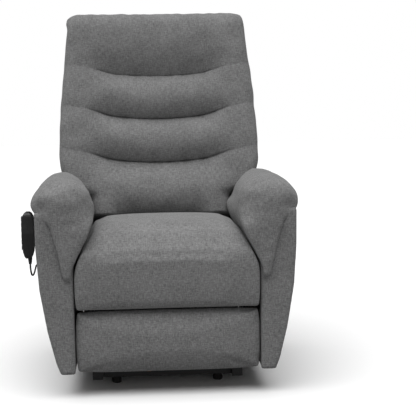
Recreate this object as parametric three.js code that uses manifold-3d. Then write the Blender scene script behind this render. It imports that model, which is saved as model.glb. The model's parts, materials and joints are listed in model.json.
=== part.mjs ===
// Lift recliner chair: steel lift base, recline and legrest linkages, wood arm and
// back frames, padded seat, back, arms and footrest, three linear actuators, and a
// wired handset that hangs on the sitter's right arm.
//
// Millimetres. +X is the sitter's left, -Y is the front, +Z is up. Everything is drawn
// about the chair's plane of symmetry and about its own datum, and the whole group is
// then moved sideways and along Y so that its origin is under the middle of the chair.
import * as THREE from 'three';
import { mergeVertices } from 'three/addons/utils/BufferGeometryUtils.js';
import Module from 'manifold-3d';

const wasm = await Module();
wasm.setup();

// ---------------------------------------------------------------- driving dimensions

const gap = 0.3;                   // between pieces that touch
const pinPlay = 0.4;               // radial play of a link pin
const pinRadius = 6;
const deg = Math.PI / 180;
const pinSides = 10;
const tubeSides = 14;

// upholstery
const seatWidth = 522;             // also the footrest's
const armSideGap = 2.3;            // seat to arm
const armDepthFront = -430;        // front face of the side panel
const armDepthRear = 255;
const armTop = 528;                // top of the arm's wooden frame, under its pad
const armWidth = 117;              // over the pad
const padCrown = 617;              // top of the arm pad
const padFront = -444;
const padRear = 222;
const padOverhang = 13.3;          // pad, beyond the top of the side panel
const panelBottomWidth = 40.7;
const panelBottom = 68;
const seatFront = -442;
const seatRear = 100;
const seatLipBottom = 250;
const seatUnderside = 337;
const seatCrown = 490;
const footrestTop = 244;
const footrestBottom = 68;
const footrestThickness = 44;
const footrestFront = -430;

// back, in its own coordinates: v up the back, w behind its pivot line
const backPivot = { y: 170, z: 300 };
const backIncline = 16 * deg;
const backTop = 815;
const wingBottom = 300;            // v where the back widens above the arms
const wingReach = 65;              // wings, beyond the seat's side
const backTopReach = 28;
const lumbarInset = 42;            // lumbar roll, inside the seat's side
const backFront = -152;
const backPadRear = -18;
const outerPanelNear = 16;
const outerPanelFar = 34;

// steelwork
const plateInset = 45;             // chair side plate, inside the seat's side
const plateThickness = 6;
const layerPitch = 9;              // link layers outside the side plate
const layerClear = 3;
const railInset = 26;              // base rail, inside the side plate
const railWidth = 30;
const railBottom = 20;
const railTop = 50;
const railHalfLength = 300;
const earInset = 6;                // pivot ear, from the base rail's inner face
const earThickness = 8;
const linkThickness = 6;
const armFrameThickness = 18;
const sheetGap = 0.7;

// lift linkage pivots in the side view: front arm A-C, rear arm B-D
const liftA = { y: -270, z: 97.4 };
const liftB = { y: -183.5, z: 100 };
const liftC = { y: 13.5, z: 90 };
const liftD = { y: 175, z: 90 };
const liftOpenPlay = 2.3;          // play of the open pivot C

// legrest linkage pivots: two parallelograms, a-b-c and a-c-d-bracket
const legA = { y: -250, z: 285 };          // drive link a on the side plate
const legB = { y: -304, z: 281 };          // link b on the side plate
const driveEnd = { y: 125, z: -195 };      // a: from legA to its joint with c
const bracketStep = { y: -4, z: 50 };      // from joint a-c to joint a-d
const legQ = { y: -300, z: 195 };          // c on the footrest bracket

// actuators
const crankRadius = 45;            // legrest crank
const liftCrankRadius = 75;
const tubeRadius = 17;
const rodRadius = 9;
const boreRadius = 10;
const lugThickness = 6;
const lugInner = 11;               // half gap between a clevis's two lugs
const eyeHalf = 9.5;               // half thickness of a rod or motor eye

// handset
const handsetWidth = 54;
const handsetHeight = 134;
const handsetTop = 523;
const handsetY = -330;
const handsetInset = 6;            // its back, inside the arm pad's side
const shellThickness = 17;
const rockerSize = 28;
const cordRadius = 2.5;

// derived places
const seatHalf = seatWidth / 2;
const armInner = seatHalf + armSideGap;
const padOuter = armInner + armWidth;
const panelTopWidth = armWidth - padOverhang;
const wingHalf = seatHalf + wingReach;
const backTopHalf = seatHalf + backTopReach;
const lumbarHalf = seatHalf - lumbarInset;
const plateInner = seatHalf - plateInset;
const railInner = plateInner - railInset;
const earInner = railInner + earInset;
const handsetInner = padOuter - handsetInset;
const frameInner = armInner + sheetGap;
const frameOuter = frameInner + armFrameThickness;
const plateOuter = plateInner + plateThickness;
const layer = (n) => plateOuter + layerClear + layerPitch * (n - 1);
const plus = (p, q) => ({ y: p.y + q.y, z: p.z + q.z });
const minus = (p, q) => ({ y: p.y - q.y, z: p.z - q.z });
const legAC = plus(legA, driveEnd);
const legBC = plus(legB, driveEnd);
const legAD = plus(legAC, bracketStep);
const legQD = plus(legQ, bracketStep);
const handsetOuter = handsetInner + 2 * shellThickness + gap;
const rockerProud = 1.5;

// ---------------------------------------------------------------- solids

function toSolid(geometry) {
  const bare = geometry.clone();
  bare.deleteAttribute('normal');
  bare.deleteAttribute('uv');
  const merged = mergeVertices(bare, 1e-4);
  return new wasm.Manifold(new wasm.Mesh({
    numProp: 3,
    vertProperties: new Float32Array(merged.attributes.position.array),
    triVerts: new Uint32Array(merged.index.array),
  }));
}

function toGeometry(solid) {
  const mesh = solid.getMesh();
  const geometry = new THREE.BufferGeometry();
  geometry.setAttribute('position', new THREE.BufferAttribute(mesh.vertProperties, 3));
  geometry.setIndex(new THREE.BufferAttribute(mesh.triVerts, 1));
  return geometry;
}

const join = (...pieces) => toGeometry(pieces.map(toSolid).reduce((a, b) => a.add(b)));
const cut = (body, ...tools) => toGeometry(
  tools.map(toSolid).reduce((a, b) => a.subtract(b), toSolid(body)));
const common = (a, b) => toGeometry(toSolid(a).intersect(toSolid(b)));

function mirrored(geometry) {
  const flipped = mergeVertices(bareCopy(geometry), 1e-4);
  flipped.scale(-1, 1, 1);
  const index = flipped.index;
  for (let i = 0; i < index.count; i += 3) {
    const first = index.getX(i);
    index.setX(i, index.getX(i + 1));
    index.setX(i + 1, first);
  }
  return flipped;
}

function bareCopy(geometry) {
  const copy = geometry.clone();
  copy.deleteAttribute('normal');
  copy.deleteAttribute('uv');
  return copy;
}

// box between two corners
function block(x0, x1, y0, y1, z0, z1) {
  const geometry = new THREE.BoxGeometry(x1 - x0, y1 - y0, z1 - z0);
  return geometry.translate((x0 + x1) / 2, (y0 + y1) / 2, (z0 + z1) / 2);
}

// cylinder along X, Y or Z
function barX(at, radius, x0, x1, sides = tubeSides) {
  const geometry = new THREE.CylinderGeometry(radius, radius, x1 - x0, sides);
  return geometry.rotateZ(Math.PI / 2).translate((x0 + x1) / 2, at.y, at.z);
}

function barY(x, z, radius, y0, y1, sides = tubeSides) {
  const geometry = new THREE.CylinderGeometry(radius, radius, y1 - y0, sides);
  return geometry.translate(x, (y0 + y1) / 2, z);
}

function barZ(x, y, radius, z0, z1, sides = tubeSides) {
  const geometry = new THREE.CylinderGeometry(radius, radius, z1 - z0, sides);
  return geometry.rotateX(Math.PI / 2).translate(x, y, (z0 + z1) / 2);
}

// cutter for a hole along X whose flats keep the full radius
function boreX(at, radius, x0, x1, sides = tubeSides) {
  return barX(at, radius / Math.cos(Math.PI / sides), x0, x1, sides);
}

// outline in the side view (y, z), extruded across from x0 to x1
function slab(outline, x0, x1) {
  const shape = new THREE.Shape(outline.map(([y, z]) => new THREE.Vector2(y, z)));
  const geometry = new THREE.ExtrudeGeometry(shape, { depth: x1 - x0, bevelEnabled: false });
  const turn = new THREE.Matrix4().makeBasis(
    new THREE.Vector3(0, 1, 0), new THREE.Vector3(0, 0, 1), new THREE.Vector3(1, 0, 0));
  return geometry.applyMatrix4(turn).translate(x0, 0, 0);
}

// convex outline round a set of circles {y, z, r}: a link or a lug seen from the side
function around(circles, sides = tubeSides) {
  const points = [];
  for (const circle of circles) {
    for (let i = 0; i < sides; i += 1) {
      const angle = (i / sides) * 2 * Math.PI;
      points.push([circle.y + circle.r * Math.cos(angle), circle.z + circle.r * Math.sin(angle)]);
    }
  }
  points.sort((p, q) => p[0] - q[0] || p[1] - q[1]);
  const turn = (o, a, b) => (a[0] - o[0]) * (b[1] - o[1]) - (a[1] - o[1]) * (b[0] - o[0]);
  const chain = (list) => {
    const hull = [];
    for (const point of list) {
      while (hull.length > 1 && turn(hull.at(-2), hull.at(-1), point) <= 1e-6) hull.pop();
      hull.push(point);
    }
    hull.pop();
    return hull;
  };
  return [...chain(points), ...chain([...points].reverse())];
}

const ring = (at, r) => ({ y: at.y, z: at.z, r });

// a flat link: bars between pivots, with holes and pins on its outer side
function link(bars, x0, { holes = [], pins = [] }) {
  const x1 = x0 + linkThickness;
  const pieces = bars.map((bar) => slab(around(bar), x0, x1));
  const headNear = x1 + linkThickness + layerClear + 0.4;
  for (const pin of pins) {
    pieces.push(barX(pin, pinRadius, x1 - 1, headNear + 1, pinSides));
    pieces.push(barX(pin, 9, headNear, headNear + 1.4, pinSides));
  }
  const solid = join(...pieces);
  if (holes.length === 0) return solid;
  return cut(solid, ...holes.map((hole) => boreX(hole.at, hole.r, x0 - 1, x1 + 1)));
}

// closed box grid whose three coordinates, each from -1 to 1, are mapped to a place
function pillow(nx, ny, nz, place) {
  const geometry = mergeVertices(bareCopy(new THREE.BoxGeometry(2, 2, 2, nx, ny, nz)), 1e-4);
  const position = geometry.attributes.position;
  for (let i = 0; i < position.count; i += 1) {
    const [x, y, z] = place(position.getX(i), position.getY(i), position.getZ(i));
    position.setXYZ(i, x, y, z);
  }
  return geometry;
}

// closed skin through rings of equal count that lie across Y; the outline runs clockwise
// seen from the front
function loftY(outline, stations) {
  const count = outline.length;
  const vertices = [];
  for (const station of stations) {
    for (const [x, z] of outline) {
      const [px, pz] = station.shape(x, z);
      vertices.push(px, station.y, pz);
    }
  }
  const faces = [];
  for (let k = 0; k + 1 < stations.length; k += 1) {
    for (let i = 0; i < count; i += 1) {
      const a = k * count + i;
      const b = k * count + ((i + 1) % count);
      faces.push(a, b, a + count, b, b + count, a + count);
    }
  }
  const flat = outline.map(([x, z]) => new THREE.Vector2(x, z));
  const last = (stations.length - 1) * count;
  for (const [a, b, c] of THREE.ShapeUtils.triangulateShape(flat, [])) {
    faces.push(a, b, c, last + a, last + c, last + b);
  }
  const geometry = new THREE.BufferGeometry();
  geometry.setAttribute('position', new THREE.Float32BufferAttribute(vertices, 3));
  geometry.setIndex(faces);
  return outward(geometry);
}

// a skin whose faces all point the same way is turned so that they point out
function outward(geometry) {
  const position = geometry.attributes.position;
  const index = geometry.index;
  const [a, b, c] = [new THREE.Vector3(), new THREE.Vector3(), new THREE.Vector3()];
  let volume = 0;
  for (let i = 0; i < index.count; i += 3) {
    a.fromBufferAttribute(position, index.getX(i));
    b.fromBufferAttribute(position, index.getX(i + 1));
    c.fromBufferAttribute(position, index.getX(i + 2));
    volume += a.dot(b.cross(c));
  }
  if (volume > 0) return geometry;
  for (let i = 0; i < index.count; i += 3) {
    const first = index.getX(i);
    index.setX(i, index.getX(i + 1));
    index.setX(i + 1, first);
  }
  return geometry;
}

// round wire or cord of radius r along a smooth path of points
function wire(points, radius, sides, steps) {
  const path = new THREE.CatmullRomCurve3(points.map(([x, y, z]) => new THREE.Vector3(x, y, z)));
  const section = new THREE.Shape();
  for (let i = 0; i < sides; i += 1) {
    const angle = (i / sides) * 2 * Math.PI;
    const spot = [radius * Math.cos(angle), radius * Math.sin(angle)];
    if (i === 0) section.moveTo(...spot);
    else section.lineTo(...spot);
  }
  return new THREE.ExtrudeGeometry(section, { steps, bevelEnabled: false, extrudePath: path });
}

const mix = (a, b, t) => a + (b - a) * t;

// value at s of a smooth curve through [s, value] pairs in rising order
function along(table, s) {
  if (s <= table[0][0]) return table[0][1];
  for (let i = 1; i < table.length; i += 1) {
    if (s <= table[i][0]) {
      const t = (s - table[i - 1][0]) / (table[i][0] - table[i - 1][0]);
      return mix(table[i - 1][1], table[i][1], t * t * (3 - 2 * t));
    }
  }
  return table.at(-1)[1];
}

// ---------------------------------------------------------------- scene

const finish = (color, roughness, metalness) => (
  new THREE.MeshStandardMaterial({ color, roughness, metalness }));
const fabric = finish(0x63635f, 0.95, 0);
const blackSteel = finish(0x1d1d1f, 0.45, 0.6);
const zincSteel = finish(0xb6b8ba, 0.35, 0.9);
const blackPlastic = finish(0x141415, 0.4, 0);
const greyPlastic = finish(0x77787a, 0.5, 0);
const plywood = finish(0xb78d5c, 0.7, 0);
const rubber = finish(0x0e0e0e, 0.85, 0);

const chair = new THREE.Group();

function add(name, geometry, material) {
  const bare = bareCopy(geometry);
  bare.computeVertexNormals();
  const mesh = new THREE.Mesh(bare, material);
  mesh.name = name;
  chair.add(mesh);
}

// one copy on each side; the sitter's left is +X
function addPair(name, geometry, material) {
  add(`${name}_left`, geometry, material);
  add(`${name}_right`, mirrored(geometry), material);
}

// ---------------------------------------------------------------- base

const glideRadius = 14;
const glideSpread = 150;
const frontTubeY = -252;
const rearTubeY = 225;
const rearFootY = 285;
const stemRadius = 4;
const liftMotor = { y: rearTubeY, z: 84 };

function lugs(at, from, x, reach = 13) {
  const outline = around([ring(at, reach), ring(from, reach)]);
  return [-1, 1].map((side) => {
    const near = x + side * lugInner;
    const far = x + side * (lugInner + lugThickness);
    return slab(outline, Math.min(near, far), Math.max(near, far));
  });
}

// the pin that a clevis's two lugs carry
const clevisPin = (at, x) => barX(at, pinRadius, x - lugInner - 1, x + lugInner + 1, pinSides);

function glide(x, y, stemTop) {
  const head = new THREE.LatheGeometry([
    [0, 0], [glideRadius - 2, 0], [glideRadius, 3], [glideRadius, 12],
    [glideRadius - 4, railBottom - gap], [stemRadius, railBottom - gap], [stemRadius, stemTop],
    [0, stemTop],
  ].map(([r, z]) => new THREE.Vector2(r, z)), tubeSides);
  return head.rotateX(Math.PI / 2).translate(x, y, 0);
}

function buildBase() {
  const ear = slab([
    [liftA.y - 26, railTop - 4], [liftA.y - 18, liftA.z + 12], [liftA.y + 2, liftA.z + 19],
    [liftB.y - 2, liftB.z + 19], [liftB.y + 18, liftB.z + 10], [liftB.y + 34, railTop - 4],
  ], earInner, earInner + earThickness);
  const rail = block(railInner, railInner + railWidth, -railHalfLength, railHalfLength,
    railBottom, railTop);
  const foot = barZ(railInner + railWidth / 2, rearFootY, glideRadius, 0, railBottom + 2);
  const holes = [liftA, liftB].map((at) => (
    boreX(at, pinRadius + pinPlay, earInner - 1, earInner + earThickness + 1)));
  addPair('base_rail', cut(join(rail, ear, foot), ...holes), blackSteel);

  const half = railInner - gap;
  const stemTop = railBottom + 14;
  const frontTube = block(-half, half, frontTubeY - 15, frontTubeY + 15, railBottom, railTop);
  const stemHole = (x) => barZ(x, frontTubeY, stemRadius + gap, railBottom - 1, stemTop + gap);
  add('base_front_tube', cut(frontTube, stemHole(glideSpread), stemHole(-glideSpread)),
    blackSteel);

  const rearTube = block(-half, half, rearTubeY - 12, rearTubeY + 12, railBottom, railTop);
  const mount = { y: rearTubeY, z: railTop - 10 };
  add('base_rear_tube', join(rearTube, ...lugs(liftMotor, mount, 0, 11),
    clevisPin(liftMotor, 0)), blackSteel);
  addPair('front_glide', glide(glideSpread, frontTubeY, stemTop), rubber);
}

// ---------------------------------------------------------------- lift linkage

const rearArmInner = earInner - layerClear - 1 - linkThickness;
const frontArmInner = earInner + earThickness + layerClear;

function buildLiftArms() {
  const rearBar = slab(around([ring(liftB, 15), ring(liftD, 14)]),
    rearArmInner, rearArmInner + linkThickness);
  const pinAt = (at, x0, x1) => barX(at, pinRadius, x0, x1, pinSides);
  const spacer = barX(liftD, 10, rearArmInner + 1, plateInner - 0.5);
  addPair('rear_lift_arm', join(rearBar, spacer,
    pinAt(liftB, rearArmInner + 1, earInner + earThickness + 1),
    pinAt(liftD, rearArmInner + 1, plateOuter + 2)), blackSteel);

  const frontBar = slab(around([ring(liftA, 14), ring(liftC, 14)]),
    frontArmInner, frontArmInner + linkThickness);
  addPair('front_lift_arm', join(frontBar,
    pinAt(liftA, earInner - 1, frontArmInner + 1),
    pinAt(liftC, frontArmInner + 1, plateOuter + 2)), blackSteel);

  const crank = crankPin(liftB, liftCrankRadius, 59);
  const tubeHalf = rearArmInner - gap;
  add('lift_torque_tube', join(barX(liftB, 14, -tubeHalf, tubeHalf),
    ...lugs(crank, liftB, 0), clevisPin(crank, 0)), blackSteel);
}

// pin of a crank of this radius, pointing at an angle from the rear (+Y) up
function crankPin(centre, radius, angle) {
  return plus(centre, { y: radius * Math.cos(angle * deg), z: radius * Math.sin(angle * deg) });
}

// ---------------------------------------------------------------- seat box

const frontRailY = [-396, -374];
const rearRailY = [70, 92];
const railBottomZ = { front: 256, rear: 296 };
const seatRailTop = 330;
const springZ = 333;
const legrestMotor = { y: 62, z: 235 };
const legrestMotorX = -95;
const reclineMotor = { y: -335, z: 235 };
const reclineMotorX = 95;

function buildSeatBox() {
  const plate = slab([
    [frontRailY[1] + gap, 258], [-225, 255], [-120, 180], [-24, 76], [-8, 66], [192, 66],
    [204, 78], [206, 286], [backPivot.y + 30, 316], [backPivot.y + 18, seatRailTop],
    [frontRailY[1] + gap, seatRailTop],
  ], plateInner, plateOuter);
  const notch = block(plateInner - 1, plateOuter + 1, rearRailY[0] - gap, rearRailY[1] + gap,
    railBottomZ.rear - gap, seatRailTop + 1);
  const hole = (at, r) => boreX(at, r, plateInner - 1, plateOuter + 1);
  const pierced = cut(plate, notch, hole(liftC, pinRadius + liftOpenPlay),
    hole(liftD, pinRadius + pinPlay), hole(legA, 11 + pinPlay),
    hole(backPivot, 8 + pinPlay));
  const headNear = layer(1) + linkThickness + 0.4;
  addPair('seat_side_plate', join(pierced,
    barX(legB, pinRadius, plateOuter - 1, headNear + 1, pinSides),
    barX(legB, 9, headNear, headNear + 1.2, pinSides)), blackSteel);

  const across = armInner + sheetGap - gap;
  const frontRail = block(-across, across, ...frontRailY, railBottomZ.front, seatRailTop);
  add('seat_front_rail', join(frontRail,
    ...lugs(reclineMotor, { y: frontRailY[1] + 4, z: 272 }, reclineMotorX, 12),
    clevisPin(reclineMotor, reclineMotorX)), blackSteel);
  const rearRail = block(-across, across, ...rearRailY, railBottomZ.rear, seatRailTop);
  add('seat_rear_rail', join(rearRail,
    ...lugs(legrestMotor, { y: 80, z: 306 }, legrestMotorX, 9),
    clevisPin(legrestMotor, legrestMotorX)), blackSteel);
  add('seat_springs', seatSprings(), zincSteel);
}

// sinuous wire springs from the front rail to the rear rail, tied across by two wires
function seatSprings() {
  const from = frontRailY[0] + 6;
  const to = rearRailY[1] - 6;
  const waves = 6;
  const outerWire = plateInner - 40;
  const wires = [-1, -0.5, 0, 0.5, 1].map((share) => {
    const x = share * outerWire;
    const points = [];
    for (let i = 0; i <= waves * 2; i += 1) {
      const inner = i > 0 && i < waves * 2;
      const swing = inner ? 16 * (i % 2 ? 1 : -1) : 0;
      points.push([x + swing, mix(from, to, i / (waves * 2)), springZ]);
    }
    return wire(points, 1.9, 4, waves * 2);
  });
  const ties = [-260, -60].map((y) => barX({ y, z: springZ }, 1.6, -outerWire - 18, outerWire + 18, 4));
  return join(...wires, ...ties);
}

// half width of the seat at height z: the arm pads lean in over it
const seatHalfAt = (z) => along([[365, seatHalf], [385, seatHalf - 7], [405, seatHalf - 17],
  [432, seatHalf - 32], [458, seatHalf - 46], [seatCrown, seatHalf - 59]], z);
const seatTopAt = (y) => along([[seatFront, 418], [-405, 470], [-300, 487], [-200, seatCrown],
  [-60, 478], [60, 455], [seatRear, 436]], y);

function buildSeatCushion() {
  const top = pillow(8, 10, 3, (u, v, w) => {
    const y = mix(seatFront, seatRear, (v + 1) / 2);
    const crown = seatTopAt(y) - 10 * Math.abs(u) ** 3;
    const z = mix(seatUnderside, crown, (w + 1) / 2);
    return [u * seatHalfAt(z), y, z];
  });
  const lipRear = frontRailY[0] - gap;
  const lip = pillow(4, 1, 3, (u, v, w) => {
    const t = (w + 1) / 2;
    const front = seatFront + (1 - t) ** 3 * 10;
    const y = v < 0 ? front : lipRear;
    return [u * (seatHalf - (1 - t) ** 3 * 3), y, mix(seatLipBottom, seatUnderside + 12, t)];
  });
  add('seat_cushion', join(top, lip), fabric);
}

// ---------------------------------------------------------------- arms

// outline (x, z) of the sitter's left arm pad: a pillow whose front drapes to a point
const padOutline = new THREE.SplineCurve([
  [36.7, 0], [armWidth - 40.3, -12], [armWidth - 11.3, -42], [armWidth, -68],
  [armWidth - 7.3, -92], [armWidth - 35.3, -117], [armWidth - 54.3, -133], [42.7, -201],
  [30, -262], [24, -277], [7.5, -277], [2.5, -250],
  [-14.3, -212], [-41.3, -159], [-56.3, -117], [-57.3, -75], [-44.3, -32], [-8.3, -6],
  [36.7, 0],
].map(([x, z]) => new THREE.Vector2(armInner + x, padCrown + z))).getPoints(30).slice(0, -1)
  .map((p) => [p.x, p.y]);
const padCore = { x: armInner + 34.7, z: padCrown - 72 };

function buildArms() {
  const clamp = (t) => Math.min(Math.max(t, 0), 1);
  const shrink = (scale, drop, lean) => (x, z) => {
    const fall = z > armTop ? drop * (z - armTop) / (padCrown - armTop) : 0;
    const inward = lean * clamp((padCore.x - x) / 92) * clamp((z - 470) / 100);
    return [mix(padCore.x, x, scale) + 30 * inward, mix(padCore.z, z, scale) - fall - 58 * inward];
  };
  const stations = [
    [padFront, 0.9, 14, 0], [padFront + 4, 0.955, 6, 0], [padFront + 16, 0.99, 1, 0],
    [-400, 1, 0, 0], [60, 1, 0, 0.7], [padRear - 42, 1, 22, 0.95], [padRear - 12, 0.97, 32, 1],
    [padRear, 0.9, 38, 1],
  ].map(([y, scale, drop, lean]) => ({ y, shape: shrink(scale, drop, lean) }));
  const pillowTop = loftY(padOutline, stations);
  const below = [armDepthRear + 20, padCrown - 450, armTop + gap];
  const seatOnFrame = block(armInner - gap, padOuter + 50, armDepthFront - gap, ...below);
  const besideBack = block(lumbarHalf - 40, armInner + 1, padRear - 34, ...below);
  const besideLumbar = block(lumbarHalf - 40, lumbarHalf + 2.5, 35, armDepthRear, 300, padCrown);
  addPair('arm_pad', cut(pillowTop, seatOnFrame, besideBack, besideLumbar), fabric);

  const frame = slab([
    [-402, 75], [armDepthRear, 75], [armDepthRear, armTop - 40], [armDepthRear - 30, armTop],
    [-402, armTop],
  ], frameInner, frameOuter);
  const lightening = [-250, -60, 130].map((y) => (
    barX({ y, z: 300 }, 42, frameInner - 1, frameOuter + 1, 16)));
  addPair('arm_frame', cut(frame, ...lightening), plywood);
  buildSidePanels();
}

const panelOuterAt = (z) => armInner + mix(panelBottomWidth, panelTopWidth,
  along([[panelBottom, 0], [100, 0.195], [190, 0.545], [310, 0.862], [425, 0.984], [armTop, 1]], z));

// side panel: padded shell over the frame's outer face that also covers the arm's front
function sidePanel() {
  const heights = [panelBottom, 84, 100, 145, 190, 250, 310, 425, armTop];
  const outline = (inset) => [
    [armInner, panelBottom + inset],
    ...heights.map((z) => [panelOuterAt(z) - inset, Math.min(Math.max(z, panelBottom + inset),
      armTop - inset)]),
    [armInner, armTop - inset],
  ];
  const run = (points, y0, y1, bevel) => {
    const shape = new THREE.Shape(points.map(([x, z]) => new THREE.Vector2(x, z)));
    const depth = y1 - y0 - 2 * bevel;
    const geometry = new THREE.ExtrudeGeometry(shape, {
      depth, bevelEnabled: bevel > 0, bevelThickness: bevel, bevelSize: bevel,
      bevelOffset: -bevel, bevelSegments: 3,
    });
    return geometry.rotateX(Math.PI / 2).translate(0, y1 - bevel, 0);
  };
  const outer = run(outline(0), armDepthFront, armDepthRear, 9);
  const wall = 14;
  const hollow = run(outline(wall), -402 - sheetGap + wall, armDepthRear - wall, 0);
  const frameSpace = block(armInner - 20, frameOuter + gap, -402 - gap, armDepthRear + 20,
    panelBottom - 10, armTop + 10);
  const hollowSide = cut(hollow, block(armInner - 20, frameOuter - 2, -500, 400, 0, 700));
  return cut(outer, hollowSide, frameSpace);
}

// grommet in the sitter's right side panel, where the handset's cord goes in
const grommet = { y: -150, z: 345 };
const grommetRadius = 9;
const grommetHole = 6;
const grommetFace = panelOuterAt(grommet.z + grommetRadius) + 4 + gap;

function buildSidePanels() {
  const panel = sidePanel();
  add('arm_panel_left', panel, fabric);
  const hole = boreX(grommet, grommetHole + gap, -padOuter - 20, -frameOuter - 20);
  add('arm_panel_right', cut(mirrored(panel), hole), fabric);
  const flange = barX(grommet, grommetRadius, -grommetFace, -grommetFace + 3);
  const sleeve = barX(grommet, grommetHole, -grommetFace + 2, -grommetFace + 20);
  const bore = boreX(grommet, cordRadius + gap, -grommetFace - 1, -grommetFace + 21, 12);
  add('cable_grommet', cut(join(flange, sleeve), bore), rubber);
}

// ---------------------------------------------------------------- back

// place of a point of the back: x across, v up the back, w behind the pivot line
function onBack(x, v, w) {
  const s = Math.sin(backIncline);
  const c = Math.cos(backIncline);
  return [x, backPivot.y + v * s + w * c, backPivot.z + v * c - w * s];
}

function turnedToBack(geometry) {
  return geometry.rotateX(-backIncline).translate(0, backPivot.y, backPivot.z);
}

const backHalfAt = (v) => {
  const t = Math.max(0, (v - wingBottom) / (backTop - wingBottom));
  return mix(wingHalf, backTopHalf, t ** 1.5);
};

// one stuffed section of the back between v0 and v1
function backSection(v0, v1, halfAt, bulge, topRound) {
  return pillow(6, 2, 4, (u, w, s) => {
    const t = (s + 1) / 2;
    const v = mix(v0, v1, t);
    const swell = Math.sin(Math.PI * mix(0.16, 0.93, t)) ** 0.7;
    const front = backFront + 14 - bulge * swell * (1 - 0.35 * u ** 4);
    const edge = Math.abs(u) ** 5 * 26;
    const cap = topRound ? Math.max(0, t - 0.72) / 0.28 : 0;
    const depth = mix(front + edge + cap ** 2 * 46, backPadRear - cap ** 2 * 6, (w + 1) / 2);
    const round = 1 - 0.05 * cap ** 3;
    return onBack(u * halfAt(v) * round, v - (topRound ? 9 * Math.abs(u) ** 5 * cap : 0), depth);
  });
}

// stuffed edge of the back, from its front sections round to the outer panel
function sideWrap(side) {
  return pillow(1, 1, 6, (u, w, s) => {
    const v = mix(wingBottom, backTop - 15, (s + 1) / 2);
    const x = u * side < 0 ? plateInner - 4 : backHalfAt(v) - 4;
    return onBack(side * x, v, w < 0 ? backPadRear - 22 : outerPanelNear - gap);
  });
}

function buildBack() {
  const seams = [442, 589];
  add('back_cushion', join(
    backSection(132, 316, () => lumbarHalf, 18, false),
    backSection(wingBottom, seams[0] + 12, backHalfAt, 20, false),
    backSection(seams[0] - 4, seams[1] + 12, backHalfAt, 20, false),
    backSection(seams[1] - 4, backTop, backHalfAt, 20, true),
    sideWrap(1),
    sideWrap(-1),
  ), fabric);

  const post = [plateInner - 38, plateInner - 13];
  const upright = block(...post, -14, 4, -26, 772);
  const boss = (r, x0, x1) => barX({ y: 0, z: 0 }, r, x0, x1);
  addPair('back_post', turnedToBack(join(upright, boss(15, post[0], post[1]),
    boss(14, post[1] - 1, plateInner - 0.5), boss(8, post[1], plateOuter + 2))), blackSteel);
  const inside = post[0] - gap;
  add('back_top_rail', turnedToBack(block(-inside, inside, -14, 4, 728, 768)), plywood);
  const reclineCrank = minus(reclineLever, backPivot);
  const local = turnBy(reclineCrank, backIncline);
  add('back_lower_rail', turnedToBack(join(boss(13, -inside, inside),
    ...lugs(local, { y: 0, z: 0 }, reclineMotorX, 12),
    clevisPin(local, reclineMotorX))), blackSteel);

  const outline = [];
  const half = [[-20, plateInner - 6], [56, plateInner - 6], [70, armInner - 11],
    [wingBottom - 6, armInner - 11], [wingBottom + 8, wingHalf - 10], [440, wingHalf - 12],
    [backTop - 195, mix(wingHalf, backTopHalf, 0.6)], [backTop - 50, backTopHalf - 6],
    [backTop - 22, backTopHalf - 34]];
  for (const [v, x] of half) outline.push([x, v]);
  for (const [v, x] of [...half].reverse()) outline.push([-x, v]);
  const shape = new THREE.Shape(outline.map(([x, v]) => new THREE.Vector2(x, v)));
  const thickness = outerPanelFar - outerPanelNear;
  const board = new THREE.ExtrudeGeometry(shape, {
    depth: thickness - 6, bevelThickness: 6, bevelSize: 6, bevelOffset: -6, bevelSegments: 2,
  });
  const standing = board.rotateX(Math.PI / 2).translate(0, outerPanelFar - 6, 0);
  const flush = cut(standing, block(-wingHalf, wingHalf, outerPanelNear - 20, outerPanelNear,
    -60, backTop + 50));
  add('back_outer_panel', turnedToBack(flush), fabric);

  const valance = block(-armInner + gap, armInner - gap, armDepthRear - 9, armDepthRear, 75, 284);
  add('rear_valance', valance, fabric);
}

function turnBy(p, angle) {
  return {
    y: p.y * Math.cos(angle) - p.z * Math.sin(angle),
    z: p.y * Math.sin(angle) + p.z * Math.cos(angle),
  };
}

// ---------------------------------------------------------------- legrest

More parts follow.
